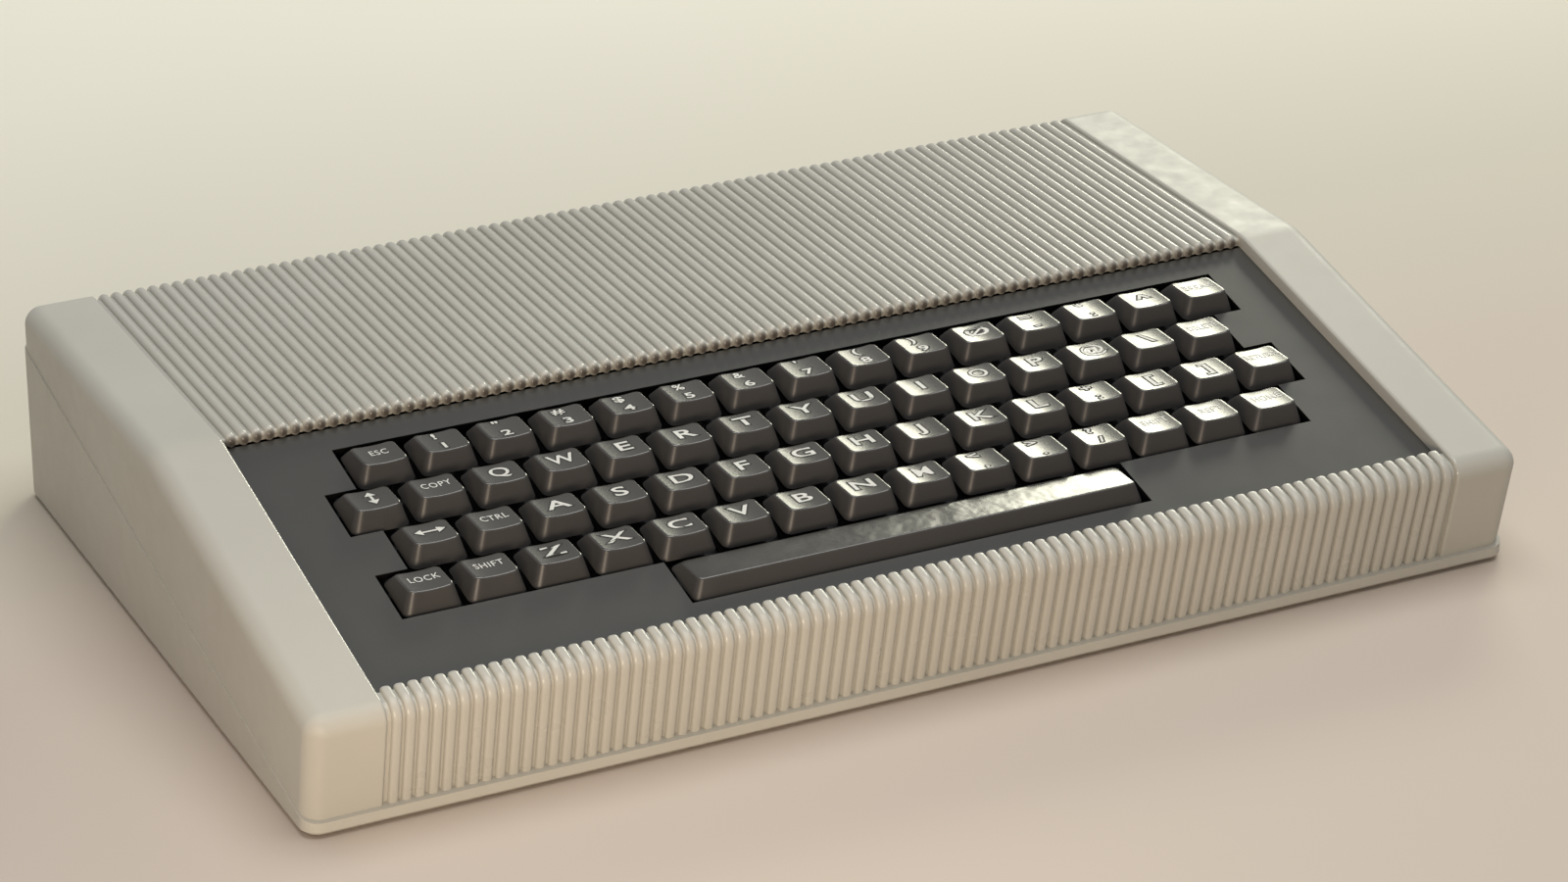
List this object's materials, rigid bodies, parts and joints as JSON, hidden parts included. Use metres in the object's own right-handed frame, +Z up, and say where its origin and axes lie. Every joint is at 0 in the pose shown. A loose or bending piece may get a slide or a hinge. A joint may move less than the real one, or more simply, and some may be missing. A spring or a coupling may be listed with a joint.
{
  "type": "home computer",
  "caption": "Wedge-shaped home computer with a ribbed two-shell case and a sunken full-travel keyboard whose keys each press down on a spring.",
  "frame": {"origin": "on the surface it stands on, below the middle of the whole machine", "axes": "+X to the right along the space bar, +Y away from the typist towards the sockets, +Z up"},
  "size_m": [0.378, 0.2413, 0.0635],
  "materials": {
    "case_plastic": "moulded, fine matt texture, warm light grey",
    "panel_plastic": "moulded, satin, dark blue-grey",
    "keycap_plastic": "moulded, satin, dark brown-grey with white legends",
    "blackened_steel": "pressed and blackened sheet steel",
    "black_plastic": "moulded, satin black",
    "board_laminate": "glass laminate with a green solder mask",
    "plated_can": "tinned sheet steel",
    "sink_aluminium": "extruded, plain",
    "speaker_frame": "pressed frame with a paper cone",
    "connector_plastic": "moulded, pale",
    "capacitor_sleeve": "shrunk plastic sleeve, blue",
    "ribbon_sleeve": "flat cable in grey plastic",
    "zinc_screws": "zinc plated",
    "foot_rubber": "moulded black rubber"
  },
  "bodies": {
    "case": {"upper_case": "case_plastic", "lower_case": "case_plastic", "key_panel": "panel_plastic", "switch_plate": "blackened_steel", "switch_housings": "black_plastic", "keyboard_board": "board_laminate", "main_board": "board_laminate", "board_chips": "black_plastic", "tv_modulator": "plated_can", "heat_sink": "sink_aluminium", "voltage_regulators": "black_plastic", "loudspeaker": "speaker_frame", "din_sockets": "black_plastic", "power_socket": "black_plastic", "expansion_connector": "connector_plastic", "capacitors": "capacitor_sleeve", "ribbon_cable": "ribbon_sleeve", "screws": "zinc_screws", "rubber_feet": "foot_rubber"},
    "key_q": {"key_q": "keycap_plastic"},
    "key_w": {"key_w": "keycap_plastic"},
    "key_e": {"key_e": "keycap_plastic"},
    "key_r": {"key_r": "keycap_plastic"},
    "key_t": {"key_t": "keycap_plastic"},
    "key_y": {"key_y": "keycap_plastic"},
    "key_u": {"key_u": "keycap_plastic"},
    "key_i": {"key_i": "keycap_plastic"},
    "key_o": {"key_o": "keycap_plastic"},
    "key_p": {"key_p": "keycap_plastic"},
    "key_a": {"key_a": "keycap_plastic"},
    "key_s": {"key_s": "keycap_plastic"},
    "key_d": {"key_d": "keycap_plastic"},
    "key_f": {"key_f": "keycap_plastic"},
    "key_g": {"key_g": "keycap_plastic"},
    "key_h": {"key_h": "keycap_plastic"},
    "key_j": {"key_j": "keycap_plastic"},
    "key_k": {"key_k": "keycap_plastic"},
    "key_l": {"key_l": "keycap_plastic"},
    "key_z": {"key_z": "keycap_plastic"},
    "key_x": {"key_x": "keycap_plastic"},
    "key_c": {"key_c": "keycap_plastic"},
    "key_v": {"key_v": "keycap_plastic"},
    "key_b": {"key_b": "keycap_plastic"},
    "key_n": {"key_n": "keycap_plastic"},
    "key_m": {"key_m": "keycap_plastic"},
    "key_1": {"key_1": "keycap_plastic"},
    "key_2": {"key_2": "keycap_plastic"},
    "key_3": {"key_3": "keycap_plastic"},
    "key_4": {"key_4": "keycap_plastic"},
    "key_5": {"key_5": "keycap_plastic"},
    "key_6": {"key_6": "keycap_plastic"},
    "key_7": {"key_7": "keycap_plastic"},
    "key_8": {"key_8": "keycap_plastic"},
    "key_9": {"key_9": "keycap_plastic"},
    "key_0": {"key_0": "keycap_plastic"},
    "left_control_keys": {"left_control_keys": "keycap_plastic"},
    "right_control_keys": {"right_control_keys": "keycap_plastic"},
    "upper_sign_keys": {"upper_sign_keys": "keycap_plastic"},
    "lower_sign_keys": {"lower_sign_keys": "keycap_plastic"},
    "space_bar": {"space_bar": "keycap_plastic"}
  },
  "joints": [
    {"name": "key_q_press", "type": "slide", "parent": "case", "child": "key_q", "axis": [0, 0.2113, -0.9774], "range_m": [0, 0.0035], "stiffness_N_per_m": 110, "springref_m": -0.002},
    {"name": "key_w_press", "type": "slide", "parent": "case", "child": "key_w", "axis": [0, 0.2113, -0.9774], "range_m": [0, 0.0035], "stiffness_N_per_m": 110, "springref_m": -0.002},
    {"name": "key_e_press", "type": "slide", "parent": "case", "child": "key_e", "axis": [0, 0.2113, -0.9774], "range_m": [0, 0.0035], "stiffness_N_per_m": 110, "springref_m": -0.002},
    {"name": "key_r_press", "type": "slide", "parent": "case", "child": "key_r", "axis": [0, 0.2113, -0.9774], "range_m": [0, 0.0035], "stiffness_N_per_m": 110, "springref_m": -0.002},
    {"name": "key_t_press", "type": "slide", "parent": "case", "child": "key_t", "axis": [0, 0.2113, -0.9774], "range_m": [0, 0.0035], "stiffness_N_per_m": 110, "springref_m": -0.002},
    {"name": "key_y_press", "type": "slide", "parent": "case", "child": "key_y", "axis": [0, 0.2113, -0.9774], "range_m": [0, 0.0035], "stiffness_N_per_m": 110, "springref_m": -0.002},
    {"name": "key_u_press", "type": "slide", "parent": "case", "child": "key_u", "axis": [0, 0.2113, -0.9774], "range_m": [0, 0.0035], "stiffness_N_per_m": 110, "springref_m": -0.002},
    {"name": "key_i_press", "type": "slide", "parent": "case", "child": "key_i", "axis": [0, 0.2113, -0.9774], "range_m": [0, 0.0035], "stiffness_N_per_m": 110, "springref_m": -0.002},
    {"name": "key_o_press", "type": "slide", "parent": "case", "child": "key_o", "axis": [0, 0.2113, -0.9774], "range_m": [0, 0.0035], "stiffness_N_per_m": 110, "springref_m": -0.002},
    {"name": "key_p_press", "type": "slide", "parent": "case", "child": "key_p", "axis": [0, 0.2113, -0.9774], "range_m": [0, 0.0035], "stiffness_N_per_m": 110, "springref_m": -0.002},
    {"name": "key_a_press", "type": "slide", "parent": "case", "child": "key_a", "axis": [0, 0.2113, -0.9774], "range_m": [0, 0.0035], "stiffness_N_per_m": 110, "springref_m": -0.002},
    {"name": "key_s_press", "type": "slide", "parent": "case", "child": "key_s", "axis": [0, 0.2113, -0.9774], "range_m": [0, 0.0035], "stiffness_N_per_m": 110, "springref_m": -0.002},
    {"name": "key_d_press", "type": "slide", "parent": "case", "child": "key_d", "axis": [0, 0.2113, -0.9774], "range_m": [0, 0.0035], "stiffness_N_per_m": 110, "springref_m": -0.002},
    {"name": "key_f_press", "type": "slide", "parent": "case", "child": "key_f", "axis": [0, 0.2113, -0.9774], "range_m": [0, 0.0035], "stiffness_N_per_m": 110, "springref_m": -0.002},
    {"name": "key_g_press", "type": "slide", "parent": "case", "child": "key_g", "axis": [0, 0.2113, -0.9774], "range_m": [0, 0.0035], "stiffness_N_per_m": 110, "springref_m": -0.002},
    {"name": "key_h_press", "type": "slide", "parent": "case", "child": "key_h", "axis": [0, 0.2113, -0.9774], "range_m": [0, 0.0035], "stiffness_N_per_m": 110, "springref_m": -0.002},
    {"name": "key_j_press", "type": "slide", "parent": "case", "child": "key_j", "axis": [0, 0.2113, -0.9774], "range_m": [0, 0.0035], "stiffness_N_per_m": 110, "springref_m": -0.002},
    {"name": "key_k_press", "type": "slide", "parent": "case", "child": "key_k", "axis": [0, 0.2113, -0.9774], "range_m": [0, 0.0035], "stiffness_N_per_m": 110, "springref_m": -0.002},
    {"name": "key_l_press", "type": "slide", "parent": "case", "child": "key_l", "axis": [0, 0.2113, -0.9774], "range_m": [0, 0.0035], "stiffness_N_per_m": 110, "springref_m": -0.002},
    {"name": "key_z_press", "type": "slide", "parent": "case", "child": "key_z", "axis": [0, 0.2113, -0.9774], "range_m": [0, 0.0035], "stiffness_N_per_m": 110, "springref_m": -0.002},
    {"name": "key_x_press", "type": "slide", "parent": "case", "child": "key_x", "axis": [0, 0.2113, -0.9774], "range_m": [0, 0.0035], "stiffness_N_per_m": 110, "springref_m": -0.002},
    {"name": "key_c_press", "type": "slide", "parent": "case", "child": "key_c", "axis": [0, 0.2113, -0.9774], "range_m": [0, 0.0035], "stiffness_N_per_m": 110, "springref_m": -0.002},
    {"name": "key_v_press", "type": "slide", "parent": "case", "child": "key_v", "axis": [0, 0.2113, -0.9774], "range_m": [0, 0.0035], "stiffness_N_per_m": 110, "springref_m": -0.002},
    {"name": "key_b_press", "type": "slide", "parent": "case", "child": "key_b", "axis": [0, 0.2113, -0.9774], "range_m": [0, 0.0035], "stiffness_N_per_m": 110, "springref_m": -0.002},
    {"name": "key_n_press", "type": "slide", "parent": "case", "child": "key_n", "axis": [0, 0.2113, -0.9774], "range_m": [0, 0.0035], "stiffness_N_per_m": 110, "springref_m": -0.002},
    {"name": "key_m_press", "type": "slide", "parent": "case", "child": "key_m", "axis": [0, 0.2113, -0.9774], "range_m": [0, 0.0035], "stiffness_N_per_m": 110, "springref_m": -0.002},
    {"name": "key_1_press", "type": "slide", "parent": "case", "child": "key_1", "axis": [0, 0.2113, -0.9774], "range_m": [0, 0.0035], "stiffness_N_per_m": 110, "springref_m": -0.002},
    {"name": "key_2_press", "type": "slide", "parent": "case", "child": "key_2", "axis": [0, 0.2113, -0.9774], "range_m": [0, 0.0035], "stiffness_N_per_m": 110, "springref_m": -0.002},
    {"name": "key_3_press", "type": "slide", "parent": "case", "child": "key_3", "axis": [0, 0.2113, -0.9774], "range_m": [0, 0.0035], "stiffness_N_per_m": 110, "springref_m": -0.002},
    {"name": "key_4_press", "type": "slide", "parent": "case", "child": "key_4", "axis": [0, 0.2113, -0.9774], "range_m": [0, 0.0035], "stiffness_N_per_m": 110, "springref_m": -0.002},
    {"name": "key_5_press", "type": "slide", "parent": "case", "child": "key_5", "axis": [0, 0.2113, -0.9774], "range_m": [0, 0.0035], "stiffness_N_per_m": 110, "springref_m": -0.002},
    {"name": "key_6_press", "type": "slide", "parent": "case", "child": "key_6", "axis": [0, 0.2113, -0.9774], "range_m": [0, 0.0035], "stiffness_N_per_m": 110, "springref_m": -0.002},
    {"name": "key_7_press", "type": "slide", "parent": "case", "child": "key_7", "axis": [0, 0.2113, -0.9774], "range_m": [0, 0.0035], "stiffness_N_per_m": 110, "springref_m": -0.002},
    {"name": "key_8_press", "type": "slide", "parent": "case", "child": "key_8", "axis": [0, 0.2113, -0.9774], "range_m": [0, 0.0035], "stiffness_N_per_m": 110, "springref_m": -0.002},
    {"name": "key_9_press", "type": "slide", "parent": "case", "child": "key_9", "axis": [0, 0.2113, -0.9774], "range_m": [0, 0.0035], "stiffness_N_per_m": 110, "springref_m": -0.002},
    {"name": "key_0_press", "type": "slide", "parent": "case", "child": "key_0", "axis": [0, 0.2113, -0.9774], "range_m": [0, 0.0035], "stiffness_N_per_m": 110, "springref_m": -0.002},
    {"name": "left_control_keys_press", "type": "slide", "parent": "case", "child": "left_control_keys", "axis": [0, 0.2113, -0.9774], "range_m": [0, 0.0035], "stiffness_N_per_m": 110, "springref_m": -0.002},
    {"name": "right_control_keys_press", "type": "slide", "parent": "case", "child": "right_control_keys", "axis": [0, 0.2113, -0.9774], "range_m": [0, 0.0035], "stiffness_N_per_m": 110, "springref_m": -0.002},
    {"name": "upper_sign_keys_press", "type": "slide", "parent": "case", "child": "upper_sign_keys", "axis": [0, 0.2113, -0.9774], "range_m": [0, 0.0035], "stiffness_N_per_m": 110, "springref_m": -0.002},
    {"name": "lower_sign_keys_press", "type": "slide", "parent": "case", "child": "lower_sign_keys", "axis": [0, 0.2113, -0.9774], "range_m": [0, 0.0035], "stiffness_N_per_m": 110, "springref_m": -0.002},
    {"name": "space_bar_press", "type": "slide", "parent": "case", "child": "space_bar", "axis": [0, 0.2113, -0.9774], "range_m": [0, 0.0035], "stiffness_N_per_m": 110, "springref_m": -0.002}
  ]
}
